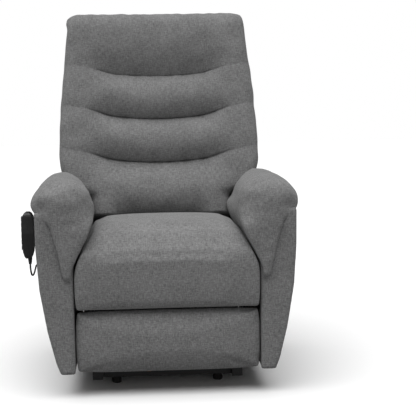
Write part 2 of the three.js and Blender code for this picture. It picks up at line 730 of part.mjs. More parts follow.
function buildLegrest() {
  const hole = (at, r = pinRadius + pinPlay) => ({ at, r });
  const linkA = link([[ring(legA, 14), ring(legAC, 12)], [ring(legAC, 12), ring(legAD, 12)]],
    layer(1), { pins: [legAC, legAD] });
  addPair('legrest_drive_link', linkA, blackSteel);
  const linkB = link([[ring(legB, 12), ring(legBC, 12)]], layer(1),
    { holes: [hole(legB)], pins: [legBC] });
  addPair('legrest_front_link', linkB, blackSteel);
  const linkC = link([[ring(legAC, 12), ring(legBC, 12)], [ring(legBC, 12), ring(legQ, 12)],
    [ring(legAC, 12), ring(legQ, 12)]], layer(2), { holes: [hole(legAC), hole(legBC)],
    pins: [legQ] });
  addPair('legrest_lower_link', linkC, blackSteel);
  const linkD = link([[ring(legAD, 12), ring(legQD, 12)]], layer(2),
    { holes: [hole(legAD)], pins: [legQD] });
  addPair('legrest_upper_link', linkD, blackSteel);

  const tubeEnd = layer(1) - gap;
  const crank = crankPin(legA, crankRadius, -46);
  add('legrest_torque_tube', join(barX(legA, 11, -tubeEnd, tubeEnd),
    ...lugs(crank, legA, legrestMotorX), clevisPin(crank, legrestMotorX)), blackSteel);

  const boardFront = footrestFront + footrestThickness + gap;
  const boardRear = boardFront + 12;
  const bracket = slab([
    [boardRear + gap, 150], [boardRear + gap, 236], [legQD.y - 6, legQD.z + 13],
    [legQD.y + 8, legQD.z + 11], [legQD.y + 13, legQD.z], [legQ.y + 13, legQ.z],
    [legQ.y + 6, legQ.z - 12], [legQ.y - 8, legQ.z - 12],
  ], layer(3), layer(3) + linkThickness);
  const holes = [legQ, legQD].map((at) => (
    boreX(at, pinRadius + pinPlay, layer(3) - 1, layer(3) + linkThickness + 1)));
  addPair('footrest_bracket', cut(bracket, ...holes), blackSteel);

  const board = block(-seatHalf + 11, seatHalf - 11, boardFront, boardRear,
    footrestBottom + 8, footrestTop - 6);
  const tab = block(-61, -49, boardFront, boardRear, footrestBottom - 5, footrestBottom + 10);
  add('footrest_board', join(board, tab), plywood);
  const round = (s) => 1 - Math.abs(s) ** 6;
  add('footrest_pad', pillow(8, 2, 4, (u, v, w) => {
    const side = seatHalf - 5 * (1 - round(w));
    const height = (footrestTop - footrestBottom) / 2;
    const middle = footrestBottom + height;
    const rise = w * (height - 4 * (1 - round(u)));
    const back = boardFront - gap;
    const front = footrestFront + 16 * (1 - round(u) * round(w));
    return [u * side, v < 0 ? front : back - (v > 0 ? 0 : 20), middle + rise];
  }), fabric);
}

// ---------------------------------------------------------------- actuators

const reclineLever = { y: 145, z: 245 };

// An actuator lies along its own +Y from its motor pivot; these numbers are from there.
// The rod's eye is a slot across the rod, because the crank pin swings on an arc while
// the rod only turns and slides at steady rates.
function actuator(name, motor, pin, x, { drift, stroke, trim }) {
  const reach = minus(pin, motor);
  const length = Math.hypot(reach.y, reach.z) + trim.slide;
  const angle = Math.atan2(reach.z, reach.y) + trim.turn * deg;
  const set = (geometry) => geometry.rotateX(angle).translate(x, motor.y, motor.z);
  const axis = { y: 0, z: 0 };
  const tubeEnd = length + Math.min(0, stroke) - 32;
  const lie = (y0, y1, r, sides = tubeSides) => barY(0, 0, r, y0, y1, sides);

  const eye = slab(around([ring(axis, 12), { y: 30, z: 0, r: 12 }]), -eyeHalf, eyeHalf);
  const housing = block(-24, 24, 22, 92, -20, 22);
  const body = join(eye, housing, lie(90, tubeEnd, tubeRadius), lie(tubeEnd - 12, tubeEnd, 20));
  const motorHole = boreX(axis, pinRadius + pinPlay, -eyeHalf - 1, eyeHalf + 1);
  add(`${name}_actuator_body`, set(cut(body, motorHole,
    lie(100, tubeEnd + 1, boreRadius + 0.3))), greyPlastic);

  const slotHalf = drift + 1;
  const slotRadius = pinRadius + 2.2;
  const slot = [{ y: length, z: slotHalf, r: slotRadius }, { y: length, z: -slotHalf,
    r: slotRadius }];
  const eyeOuter = slot.map((end) => ({ ...end, r: slotRadius + 5 }));
  const rodEye = slab(around(eyeOuter), -eyeHalf, eyeHalf);
  const rodStart = tubeEnd - Math.max(stroke, 0) - 45;
  const rod = join(lie(Math.max(rodStart, 105), length - slotRadius - 2, rodRadius), rodEye);
  add(`${name}_actuator_rod`, set(cut(rod, slab(around(slot), -eyeHalf - 1, eyeHalf + 1))),
    zincSteel);
}

function buildActuators() {
  actuator('lift', liftMotor, crankPin(liftB, liftCrankRadius, 59), 0,
    { drift: 5.1, stroke: 76, trim: { slide: 1.09, turn: -0.741 } });
  actuator('legrest', legrestMotor, crankPin(legA, crankRadius, -46), legrestMotorX,
    { drift: 6.4, stroke: 62, trim: { slide: 0, turn: 1.298 } });
  actuator('recline', reclineMotor, reclineLever, reclineMotorX,
    { drift: 2.2, stroke: -28, trim: { slide: -1.51, turn: -0.174 } });
}

function buildControlBox() {
  const box = block(-plateInner + gap, -plateInner + 62, -100, 0, 170, 232);
  const inlet = block(-plateInner + 20, -plateInner + 44, -0.5, 8, 186, 206);
  const socket = block(-plateInner + 24, -plateInner + 40, 2, 9, 190, 202);
  add('control_box', cut(join(box, inlet), socket), blackPlastic);
}

// ---------------------------------------------------------------- handset

const bailRadius = 1.5;
const bail = { out: handsetInner - 2.8, z: 500, half: 13 };

// wire bail: two legs from the side panel and a bar along Y that the handset hooks on
function wireBail() {
  const { out, z, half } = bail;
  const wall = panelOuterAt(z) + 0.6;
  return wire([
    [wall, handsetY - half, z + 10], [wall + 2, handsetY - half, z + 9],
    [out - 1, handsetY - half, z + 4], [out, handsetY - half + 1, z],
    [out, handsetY - half + 5, z], [out, handsetY, z], [out, handsetY + half - 5, z],
    [out, handsetY + half - 1, z], [out - 1, handsetY + half, z + 4],
    [wall + 2, handsetY + half, z + 9], [wall, handsetY + half, z + 10],
  ], bailRadius, 6, 20);
}

// paddle outline in the side view, narrower at its lower end
function paddle() {
  const shape = new THREE.Shape();
  const half = handsetWidth / 2;
  const [top, bottom, r] = [handsetTop, handsetTop - handsetHeight, 16];
  const low = half - 9;
  shape.moveTo(-low + r, bottom);
  shape.lineTo(low - r, bottom);
  shape.quadraticCurveTo(low, bottom, low + 1, bottom + r);
  shape.lineTo(half, top - 60);
  shape.lineTo(half, top - r);
  shape.quadraticCurveTo(half, top, half - r, top);
  shape.lineTo(-half + r, top);
  shape.quadraticCurveTo(-half, top, -half, top - r);
  shape.lineTo(-half, top - 60);
  shape.lineTo(-low - 1, bottom + r);
  shape.quadraticCurveTo(-low, bottom, -low + r, bottom);
  return shape.getPoints(6).map((p) => [p.x + handsetY, p.y]);
}

// the two shells seen from the front: full thickness behind the keys, thinner at both ends
function lens() {
  const middle = handsetInner + shellThickness;
  const [top, bottom] = [handsetTop, handsetTop - handsetHeight];
  const half = shellThickness + gap;
  const outer = [
    [0.25 * half, top], [0.65 * half, top - 5], [0.9 * half, top - 15], [half, top - 32],
    [half, bottom + 44], [0.86 * half, bottom + 20], [0.64 * half, bottom + 7],
    [0.42 * half, bottom],
  ];
  const inner = [
    [0.42 * half, bottom], [0.64 * half, bottom + 7], [0.86 * half, bottom + 20],
    [half, bottom + 44], [half, top - 32], [0.84 * half, top - 15], [0.55 * half, top - 5],
    [0.2 * half, top],
  ];
  const outline = [...outer, ...inner.map(([t, z]) => [-t, z])];
  const shape = new THREE.Shape(outline.map(([t, z]) => new THREE.Vector2(-middle - t, z)));
  const depth = handsetWidth + 10;
  const geometry = new THREE.ExtrudeGeometry(shape, { depth, bevelEnabled: false });
  return geometry.rotateX(Math.PI / 2).translate(0, handsetY + depth / 2, 0);
}

const bootInset = 3;               // boot's axis, behind the parting of the shells
const keyPitch = 33;
const keyRows = { lift: 0, recline: 1, legrest: 2 };
const keyCentre = (row) => ({ y: handsetY, z: handsetTop - 27 - keyPitch * row });

function buildHandset() {
  const outline = paddle();
  const outer = -handsetOuter;
  const parting = -handsetInner - shellThickness;
  const pocketDepth = 7;
  const half = rockerSize / 2;
  const pockets = Object.values(keyRows).map((row) => {
    const at = keyCentre(row);
    return block(outer - 1, outer + pocketDepth, at.y - half - 0.6, at.y + half + 0.6,
      at.z - half - 0.6, at.z + half + 0.6);
  });
  const front = common(slab(outline, outer, parting - gap), lens());
  add('handset_front_shell', cut(front, ...pockets), blackPlastic);

  const bottom = handsetTop - handsetHeight;
  const boot = new THREE.LatheGeometry([
    [0, bottom - 16], [4.2, bottom - 16], [6.5, bottom + 2], [0, bottom + 2],
  ].map(([r, z]) => new THREE.Vector2(r, z)), 12);
  boot.rotateX(Math.PI / 2).translate(parting + bootInset, handsetY, 0);
  const besideFront = block(outer, parting, handsetY - 20, handsetY + 20, bottom - gap, bottom + 9);
  const { out, z } = bail;
  const hookTop = z + bailRadius + 4;
  const behind = -(out - bailRadius - 0.8);
  const hook = join(
    block(-handsetInner - 9, behind + 1.6, handsetY - 7, handsetY + 7, hookTop - 3, hookTop),
    block(behind, behind + 1.6, handsetY - 7, handsetY + 7, z - 5, hookTop));
  const back = common(slab(outline, parting, -handsetInner), lens());
  add('handset_back_shell', join(back, cut(boot, besideFront), hook), blackPlastic);

  for (const [name, row] of Object.entries(keyRows)) {
    const at = keyCentre(row);
    const key = block(outer - rockerProud, outer + pocketDepth - 2.2, at.y - half, at.y + half,
      at.z - half, at.z + half);
    const waist = barY(outer - rockerProud - 7.2, at.z, 8, at.y - half - 1, at.y + half + 1, 20);
    add(`${name}_rocker`, cut(key, waist), greyPlastic);
  }
}

function buildHangersAndCord() {
  const hanger = wireBail();
  add('handset_hanger_left', hanger, zincSteel);
  add('handset_hanger_right', mirrored(hanger), zincSteel);

  const bottom = handsetTop - handsetHeight - 16 - gap;
  const start = -handsetInner - shellThickness + bootInset;
  const end = -grommetFace - gap;
  add('handset_cord', wire([
    [start, handsetY, bottom], [start, handsetY, bottom - 8],
    [start + 0.4, handsetY + 3, bottom - 17], [start + 0.8, handsetY + 11, bottom - 26],
    [start + 1.2, handsetY + 24, bottom - 34], [start + 1.6, handsetY + 42, bottom - 39],
    [start + 2, handsetY + 64, bottom - 42], [start + 2.4, handsetY + 88, bottom - 42],
    [start + 2.8, handsetY + 112, bottom - 39.5], [start + 3.2, handsetY + 134, bottom - 35],
    [start + 3.8, handsetY + 152, bottom - 30], [end - 17.5, grommet.y - 15, grommet.z - 0.3],
    [end - 13.5, grommet.y - 5, grommet.z], [end - 5, grommet.y - 0.4, grommet.z],
    [end, grommet.y, grommet.z],
  ], cordRadius, 8, 34), rubber);
}

// ---------------------------------------------------------------- whole chair

buildBase();
buildLiftArms();
buildSeatBox();
buildSeatCushion();
buildArms();
buildBack();
buildLegrest();
buildActuators();
buildControlBox();
buildHandset();
buildHangersAndCord();

// origin on the floor under the middle of the chair's box
const rearmost = onBack(0, backTop - 22, outerPanelFar)[1];
const sideways = (handsetOuter + rockerProud - padOuter) / 2;
chair.position.set(sideways, -(padFront + rearmost) / 2, 0);

export default chair;
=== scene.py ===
"""Looks of a lift recliner chair: stuffed upholstery, cord, finishes, floor, light and camera.

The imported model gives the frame. Every soft part of it is remade here as stuffed fabric that is
swollen by a cloth simulation, and every hard part gets a bevel and a finish of its own.
"""

import json
import logging
import math
from dataclasses import dataclass, field
from enum import Enum
from typing import Callable, Optional

import bpy
import numpy as np
from mathutils import Euler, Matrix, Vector


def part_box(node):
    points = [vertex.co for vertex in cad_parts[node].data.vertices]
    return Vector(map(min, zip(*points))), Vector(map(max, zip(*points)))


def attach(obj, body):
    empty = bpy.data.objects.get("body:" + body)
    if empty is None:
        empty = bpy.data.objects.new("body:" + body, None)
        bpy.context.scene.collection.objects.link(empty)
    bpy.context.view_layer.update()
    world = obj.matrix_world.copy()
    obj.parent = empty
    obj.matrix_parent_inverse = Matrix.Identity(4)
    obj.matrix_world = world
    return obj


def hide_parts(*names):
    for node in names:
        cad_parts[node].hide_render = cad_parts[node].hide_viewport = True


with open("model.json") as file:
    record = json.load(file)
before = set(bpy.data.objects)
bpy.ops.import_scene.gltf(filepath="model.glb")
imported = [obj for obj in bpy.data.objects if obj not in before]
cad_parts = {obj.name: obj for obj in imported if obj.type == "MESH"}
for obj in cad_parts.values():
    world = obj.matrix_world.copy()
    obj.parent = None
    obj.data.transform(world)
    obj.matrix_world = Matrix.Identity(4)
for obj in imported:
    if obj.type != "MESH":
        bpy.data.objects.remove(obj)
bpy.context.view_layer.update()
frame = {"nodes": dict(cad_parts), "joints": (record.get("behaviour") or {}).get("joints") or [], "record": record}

LOG = logging.getLogger("recliner")
MM = 0.001
SWELL_FRAMES = 20  # frames that the stuffing takes to settle
WAVE_RATE = 20  # the wave texture's own factor on its coordinates
DRAWN_PIVOT_Y = 0.170  # the back's pivot in the chair's own drawing
Array = np.ndarray


# ---- numbers


def linear(colour: str) -> tuple[float, float, float, float]:
    """Turns an sRGB hex colour to linear.

    Args:
        colour: Six hex digits, with or without a leading #.

    Returns:
        Red, green, blue and alpha, each from 0 to 1.
    """
    digits = colour.lstrip("#")
    parts = [int(digits[i:i + 2], 16) / 255 for i in (0, 2, 4)]
    return (*[c / 12.92 if c <= 0.04045 else ((c + 0.055) / 1.055) ** 2.4 for c in parts], 1.0)


def smooth(low: float, high: float, value: Array) -> Array:
    """Eases from 0 at low to 1 at high, as 3t^2 - 2t^3.

    Args:
        low: The value that gives 0.
        high: The value that gives 1.
        value: The values to ease.

    Returns:
        One share from 0 to 1 for each value.
    """
    t = np.clip((value - low) / (high - low), 0, 1)
    return t * t * (3 - 2 * t)


def mix(a: Array, b: Array, t: Array) -> Array:
    """Goes from a at t = 0 to b at t = 1 in a straight line."""
    return a + (b - a) * t


def quarter_round(share: Array, blunt: float = 0.995) -> Array:
    """How far a rounded edge has fallen away, as a share of its radius.

    Args:
        share: Places across the edge, from 0, where it starts, to 1, its rim.
        blunt: Just under 1, so that the rim isn't quite upright.

    Returns:
        One fall for each place, from 0 to nearly 1.
    """
    return 1 - np.sqrt(1 - share ** 2 * blunt)


def curve_through(knots: Array, t: Array) -> Array:
    """Follows the Catmull-Rom curve from the second knot to the last but one.

    Args:
        knots: The points to go through, one row each, with one more before and after.
        t: Places along the curve, counted in knots from the second.

    Returns:
        One point for each place.
    """
    i = t.astype(int)
    f = (t - i)[:, None]
    p0, p1, p2, p3 = (knots[i + k] for k in range(4))
    return 0.5 * (2 * p1 + (p2 - p0) * f + (2 * p0 - 5 * p1 + 4 * p2 - p3) * f ** 2
                  + (3 * p1 - p0 - 3 * p2 + p3) * f ** 3)


def ripple(points: Array, wavelength: float, seed: int, stretch: tuple = (1, 1, 1)) -> Array:
    """Smooth noise in space: the sum of twelve sine waves with seeded directions and phases.

    Args:
        points: Places, one row each, in metres.
        wavelength: Typical distance between crests, in metres.
        seed: Seed of the directions and phases.
        stretch: How much longer the waves are along each axis.

    Returns:
        One value for each place, about from -1 to 1.
    """
    draw = np.random.default_rng(seed)
    ways = draw.normal(size=(12, 3))
    ways /= np.linalg.norm(ways, axis=1, keepdims=True)
    ways *= draw.uniform(0.7, 1.4, (12, 1)) * 2 * math.pi / wavelength
    phases = draw.uniform(0, 2 * math.pi, 12)
    return np.sin(points @ (ways / np.array(stretch)).T + phases).sum(1) / 3.5


# ---- meshes


def positions(mesh: bpy.types.Mesh) -> Array:
    """Reads a mesh's vertices as rows of x, y, z."""
    flat = np.empty(len(mesh.vertices) * 3, np.float32)
    mesh.vertices.foreach_get("co", flat)
    return flat.reshape(-1, 3).astype(float)


def normals(mesh: bpy.types.Mesh) -> Array:
    """Reads a mesh's vertex normals as rows of x, y, z."""
    flat = np.empty(len(mesh.vertices) * 3, np.float32)
    mesh.vertex_normals.foreach_get("vector", flat)
    return flat.reshape(-1, 3).astype(float)


def place(mesh: bpy.types.Mesh, points: Array) -> None:
    """Writes rows of x, y, z to a mesh's vertices."""
    mesh.vertices.foreach_set("co", points.astype(np.float32).ravel())
    mesh.update()


def add_object(name: str, data: bpy.types.ID) -> bpy.types.Object:
    """Puts a mesh, a lamp or a camera in the scene as an object."""
    made = bpy.data.objects.new(name, data)
    bpy.context.scene.collection.objects.link(made)
    return made


def new_piece(name: str, points: Array, faces: Array, caps: tuple = ()) -> bpy.types.Object:
    """Makes an object at the origin from vertices and faces.

    Args:
        name: The piece's name.
        points: Vertices, one row each, in metres.
        faces: Vertex numbers, one row for each face.
        caps: More faces, of any number of corners.

    Returns:
        The new object, in the scene.
    """
    mesh = bpy.data.meshes.new(name)
    mesh.from_pydata(points.tolist(), [], faces.tolist() + [cap.tolist() for cap in caps])
    mesh.update()
    return add_object(name, mesh)


def copy_of(name: str, node: str) -> bpy.types.Object:
    """Copies a CAD node's solid to a new object, with its loose triangles merged.

    Args:
        name: The new piece's name.
        node: The CAD node.

    Returns:
        The new object, a closed solid.
    """
    source = frame["nodes"][node].data
    corners = positions(source)
    loops = np.empty(len(source.loops), np.int32)
    source.loops.foreach_get("vertex_index", loops)
    points, numbers = np.unique(np.round(corners, 6), axis=0, return_inverse=True)
    return new_piece(name, points, numbers.ravel()[loops].reshape(-1, 3))


def apply_modifiers(piece: bpy.types.Object) -> None:
    """Replaces a piece's mesh by what its modifiers make of it."""
    depsgraph = bpy.context.evaluated_depsgraph_get()
    made = bpy.data.meshes.new_from_object(piece.evaluated_get(depsgraph))
    piece.modifiers.clear()
    old = piece.data
    made.name = piece.name
    piece.data = made
    bpy.data.meshes.remove(old)


def remesh(piece: bpy.types.Object, voxel: float, rounds: int) -> None:
    """Gives a solid an even mesh and rounds its edges, and keeps its box as it was.

    Args:
        piece: The object, a closed solid.
        voxel: Size of the new faces, in metres.
        rounds: Passes of smoothing, which round an edge by about a voxel for each four.
    """
    before = positions(piece.data)
    even = piece.modifiers.new("even", "REMESH")
    even.mode = "VOXEL"
    even.voxel_size = voxel
    soft = piece.modifiers.new("soft", "SMOOTH")
    soft.factor = 0.5
    soft.iterations = rounds
    apply_modifiers(piece)
    after = positions(piece.data)
    share = (after - after.min(0)) / np.ptp(after, axis=0)
    place(piece.data, before.min(0) + share * np.ptp(before, axis=0))


def swell(piece: bpy.types.Object, cap: float, held: Callable[[Array], Array],
          pressure: float = 4.0) -> None:
    """Blows a closed skin up like a stuffed pad by a cloth simulation with pressure inside it.

    Args:
        piece: The object, a closed solid with an even mesh.
        cap: The furthest that a point may move, in metres.
        held: Gives how firmly each point is held, from 0, free, to 1.
        pressure: Pressure of the stuffing.
    """
    rest = positions(piece.data)
    group = piece.vertex_groups.new(name="held")
    weight = np.clip(held(rest), 0, 1)
    for level in np.unique(np.round(weight, 1)):
        numbers = np.flatnonzero(np.round(weight, 1) == level).tolist()
        group.add(numbers, float(level), "REPLACE")
    cloth = piece.modifiers.new("stuffing", "CLOTH")
    cloth.settings.vertex_group_mass = "held"
    cloth.settings.use_pressure = True
    cloth.settings.uniform_pressure_force = pressure
    cloth.settings.effector_weights.gravity = 0
    cloth.settings.tension_stiffness = 25
    cloth.settings.compression_stiffness = 25
    cloth.settings.bending_stiffness = 1.5
    cloth.settings.quality = 4
    cloth.collision_settings.use_collision = False
    cloth.point_cache.frame_start = 1
    cloth.point_cache.frame_end = SWELL_FRAMES
    scene = bpy.context.scene
    for number in range(1, SWELL_FRAMES + 1):
        scene.frame_set(number)
    moved = piece.evaluated_get(bpy.context.evaluated_depsgraph_get()).data
    step = positions(moved) - rest
    length = np.linalg.norm(step, axis=1, keepdims=True)
    step *= np.minimum(1, cap / np.maximum(length, 1e-9))
    piece.modifiers.clear()
    piece.vertex_groups.clear()
    place(piece.data, rest + step)
    scene.frame_set(1)


def finer(piece: bpy.types.Object) -> None:
    """Splits every face in four, on a smooth surface."""
    split = piece.modifiers.new("finer", "SUBSURF")
    split.levels = 1
    split.render_levels = 1
    apply_modifiers(piece)


def map_threads(piece: bpy.types.Object) -> None:
    """Writes a UV map in metres whose axes are the cloth's threads.

    A face takes the two axes of the frame that it faces least: x and z on the front, x and y
    on top, y and z on the side.
    """
    mesh = piece.data
    points = positions(mesh)
    flat = np.empty(len(mesh.polygons) * 3, np.float32)
    mesh.polygons.foreach_get("normal", flat)
    facing = np.abs(flat.reshape(-1, 3)).argmax(1)
    totals = np.empty(len(mesh.polygons), np.int32)
    mesh.polygons.foreach_get("loop_total", totals)
    loops = np.empty(len(mesh.loops), np.int32)
    mesh.loops.foreach_get("vertex_index", loops)
    across = np.array([1, 0, 0])[np.repeat(facing, totals)]
    along = np.array([2, 2, 1])[np.repeat(facing, totals)]
    corner = points[loops]
    rows = np.arange(len(loops))
    uv = np.stack([corner[rows, across], corner[rows, along]], 1)
    layer = mesh.uv_layers.get("threads") or mesh.uv_layers.new(name="threads")
    layer.data.foreach_set("uv", uv.astype(np.float32).ravel())


def shade_smooth(piece: bpy.types.Object) -> None:
    """Shades every face of a piece smooth."""
    piece.data.polygons.foreach_set("use_smooth", np.ones(len(piece.data.polygons), bool))
    piece.data.update()


def box_grid(counts: tuple[int, int, int]) -> tuple[Array, Array]:
    """Closed skin of a cube from -1 to 1, cut into a grid on each of its six faces.

    Args:
        counts: Faces along x, y and z.

    Returns:
        The vertices, welded along the cube's edges, and the four-sided faces, facing out.
    """
    points: list[Array] = []
    faces: list[Array] = []
    start = 0
    for axis in range(3):
        a, b = (axis + 1) % 3, (axis + 2) % 3
        for side in (-1, 1):
            ga, gb = np.meshgrid(np.linspace(-1, 1, counts[a] + 1),
                                 np.linspace(-1, 1, counts[b] + 1), indexing="ij")
            sheet = np.empty((ga.size, 3))
            sheet[:, axis] = side
            sheet[:, a] = ga.ravel()
            sheet[:, b] = gb.ravel()
            number = np.arange(ga.size).reshape(ga.shape) + start
            quad = np.stack([number[:-1, :-1], number[1:, :-1], number[1:, 1:],
                             number[:-1, 1:]], -1).reshape(-1, 4)
            faces.append(quad if side > 0 else quad[:, ::-1])
            points.append(sheet)
            start += ga.size
    every = np.concatenate(points)
    welded, numbers = np.unique(np.round(every, 6), axis=0, return_inverse=True)
    return welded, numbers.ravel()[np.concatenate(faces)]


# ---- finishes


def add_node(tree: bpy.types.NodeTree, kind: str, inputs: Optional[dict] = None,
             **settings: object) -> bpy.types.Node:
    """Adds a shader node.

    Args:
        tree: The material's node tree.
        kind: The node's type, without its ShaderNode prefix.
        inputs: A value, or a socket to link from, for each input by name or number.
        settings: The node's own properties.

    Returns:
        The new node.
    """
    node = tree.nodes.new("ShaderNode" + kind)
    for name, value in settings.items():
        setattr(node, name, value)
    for name, value in (inputs or {}).items():
        if isinstance(value, bpy.types.NodeSocket):
            tree.links.new(value, node.inputs[name])
        else:
            node.inputs[name].default_value = value
    return node


def blend(tree: bpy.types.NodeTree, shader: bpy.types.Node, share: bpy.types.NodeSocket,
          first: str, second: str) -> None:
    """Colours a shader from the first colour, where share is 0, to the second, where it is 1."""
    colour = add_node(tree, "Mix", {0: share, 6: linear(first), 7: linear(second)},
                      data_type="RGBA")
    tree.links.new(colour.outputs[2], shader.inputs["Base Color"])


@dataclass(frozen=True)
class Finish:
    """What every finish has: a name, a colour and the shader's own settings."""

    name: str
    colour: str
    roughness: float = 0.5
    metallic: float = 0.0

    def material(self) -> bpy.types.Material:
        """Makes the material once, and gives the same one each time."""
        made = bpy.data.materials.get(self.name)
        if made:
            return made
        made = bpy.data.materials.new(self.name)
        made.use_nodes = True
        tree = made.node_tree
        shader = tree.nodes["Principled BSDF"]
        shader.inputs["Roughness"].default_value = self.roughness
        shader.inputs["Metallic"].default_value = self.metallic
        shader.inputs["Base Color"].default_value = linear(self.colour)
        self.dress(tree, shader)
        return made

    def dress(self, tree: bpy.types.NodeTree, shader: bpy.types.Node) -> None:
        """Adds the pattern of this finish to the shader."""
        raise NotImplementedError

    def noise(self, tree: bpy.types.NodeTree, place_on: bpy.types.NodeSocket,
              period: tuple[float, float, float], detail: float = 2.0) -> bpy.types.NodeSocket:
        """Noise whose grains are period metres long along each axis.

        Args:
            tree: The material's node tree.
            place_on: Socket of the coordinates, in metres.
            period: Length of a grain along x, y and z, in metres.
            detail: Octaves of finer noise.

        Returns:
            The socket of the value, about from 0.3 to 0.7.
        """
        scale = tuple(1 / p for p in period)
        spread = add_node(tree, "Mapping", {"Vector": place_on, "Scale": scale})
        return add_node(tree, "TexNoise", {"Vector": spread.outputs[0], "Scale": 1.0,
                                           "Detail": detail}).outputs["Fac"]

    def relief(self, tree: bpy.types.NodeTree, shader: bpy.types.Node,
               height: bpy.types.NodeSocket, depth: float, strength: float = 1.0) -> None:
        """Presses a height from 0 to 1, depth metres deep, into the shader's normal."""
        bump = add_node(tree, "Bump", {"Height": height, "Distance": depth,
                                       "Strength": strength})
        tree.links.new(bump.outputs[0], shader.inputs["Normal"])


@dataclass(frozen=True)
class HeatherWeave(Finish):
    """Heather polyester upholstery cloth, plain woven from slubby two-tone yarn.

    The eye sees short pale and dark slubs along both threads, and a soft matt face.
    """

    slub_length: float = 13 * MM
    slub_width: float = 3.1 * MM
    slub_height: float = 1.6  # over the height of a thread
    thread: float = 1.6 * MM
    thread_wobble: float = 0.6
    fleck: float = 1.9 * MM
    shade: float = 70 * MM
    shade_share: float = 0.35
    tone_range: tuple[float, float] = (1.25, 2.1)
    pale: str = "8f8f8f"
    dark: str = "5b5b5b"
    sheen: float = 0.18
    sheen_roughness: float = 0.6
    specular: float = 0.2
    relief_depth: float = 0.5 * MM
    relief_strength: float = 0.7

    def dress(self, tree: bpy.types.NodeTree, shader: bpy.types.Node) -> None:
        """Adds slubs along both threads, flecks, slow shading and the weave's relief."""
        threads = add_node(tree, "UVMap", uv_map="threads").outputs[0]
        solid = add_node(tree, "TexCoord").outputs["Object"]
        weft = self.noise(tree, threads, (self.slub_length, self.slub_width, 1), 2)
        warp = self.noise(tree, threads, (self.slub_width, self.slub_length, 1), 2)
        fleck = self.noise(tree, solid, (self.fleck,) * 3, 1)
        slow = self.noise(tree, solid, (self.shade,) * 3, 2)
        slubs = add_node(tree, "Math", {0: weft, 1: warp}, operation="ADD")
        flecked = add_node(tree, "Math", {0: slubs.outputs[0], 1: fleck}, operation="ADD")
        shaded = add_node(tree, "Math", {0: slow, 1: self.shade_share, 2: flecked.outputs[0]},
                          operation="MULTIPLY_ADD")
        least, most = self.tone_range
        tone = add_node(tree, "MapRange", {"Value": shaded.outputs[0], "From Min": least,
                                           "From Max": most})
        blend(tree, shader, tone.outputs[0], self.dark, self.pale)
        scale = 1 / self.thread / WAVE_RATE * 2 * math.pi
        waves = [add_node(tree, "TexWave", {"Vector": threads, "Scale": scale,
                                            "Distortion": self.thread_wobble},
                          wave_type="BANDS", bands_direction=direction).outputs["Fac"]
                 for direction in ("X", "Y")]
        weave = add_node(tree, "Math", {0: waves[0], 1: waves[1]}, operation="MAXIMUM")
        height = add_node(tree, "Math", {0: slubs.outputs[0], 1: self.slub_height,
                                         2: weave.outputs[0]}, operation="MULTIPLY_ADD")
        shader.inputs["Sheen Weight"].default_value = self.sheen
        shader.inputs["Sheen Roughness"].default_value = self.sheen_roughness
        shader.inputs["Specular IOR Level"].default_value = self.specular
        self.relief(tree, shader, height.outputs[0], self.relief_depth, self.relief_strength)


@dataclass(frozen=True)
class Coated(Finish):
    """Powder coat or moulded plastic: fine orange peel, and dust and rub that change its gloss."""

    peel: float = 1.2 * MM
    depth: float = 0.03 * MM
    rub: float = 28 * MM
    rubbed: str = "2a2a2b"
    gloss_spread: tuple[float, float] = (-0.07, 0.1)

    def dress(self, tree: bpy.types.NodeTree, shader: bpy.types.Node) -> None:
        """Adds the peel's relief, a rubbed tone and uneven gloss."""
        solid = add_node(tree, "TexCoord").outputs["Object"]
        grain = self.noise(tree, solid, (self.peel,) * 3, 2)
        rub = self.noise(tree, solid, (self.rub,) * 3, 4)
        share = add_node(tree, "MapRange", {"Value": rub, "From Min": 0.5, "From Max": 0.75,
                                            "To Max": 0.5})
        blend(tree, shader, share.outputs[0], self.colour, self.rubbed)
        gloss = add_node(tree, "MapRange", {"Value": rub, "From Min": 0.3, "From Max": 0.7,
                                            "To Min": self.roughness + self.gloss_spread[0],
                                            "To Max": self.roughness + self.gloss_spread[1]})
        tree.links.new(gloss.outputs[0], shader.inputs["Roughness"])
        self.relief(tree, shader, grain, self.depth)


@dataclass(frozen=True)
class ZincPlate(Finish):
    """Bright zinc on drawn wire and turned rod: fine draw lines and a faint blue cast."""

    line: tuple[float, float, float] = (0.8 * MM, 40 * MM, 0.8 * MM)
    cloud: float = 9 * MM
    cast: str = "a4abb3"
    gloss: tuple[float, float] = (0.22, 0.45)
    depth: float = 0.03 * MM

    def dress(self, tree: bpy.types.NodeTree, shader: bpy.types.Node) -> None:
        """Adds draw lines to the gloss and a cloudy tone to the metal."""
        solid = add_node(tree, "TexCoord").outputs["Object"]
        lines = self.noise(tree, solid, self.line, 2)
        cloud = self.noise(tree, solid, (self.cloud,) * 3, 3)
        gloss = add_node(tree, "MapRange", {"Value": lines, "From Min": 0.3, "From Max": 0.7,
                                            "To Min": self.gloss[0], "To Max": self.gloss[1]})
        blend(tree, shader, cloud, self.colour, self.cast)
        tree.links.new(gloss.outputs[0], shader.inputs["Roughness"])
        self.relief(tree, shader, lines, self.depth)


@dataclass(frozen=True)
class Plywood(Finish):
    """Raw plywood: a pale face with long narrow darker grain, sanded but not sealed."""

    late: str = "9c7344"
    grain: tuple[float, float, float] = (4 * MM, 5 * MM, 120 * MM)
    depth: float = 0.15 * MM

    def dress(self, tree: bpy.types.NodeTree, shader: bpy.types.Node) -> None:
        """Adds grain that runs along z."""
        solid = add_node(tree, "TexCoord").outputs["Object"]
        grain = self.noise(tree, solid, self.grain, 4)
        share = add_node(tree, "MapRange", {"Value": grain, "From Min": 0.35, "From Max": 0.65})
        blend(tree, shader, share.outputs[0], self.colour, self.late)
        self.relief(tree, shader, grain, self.depth)


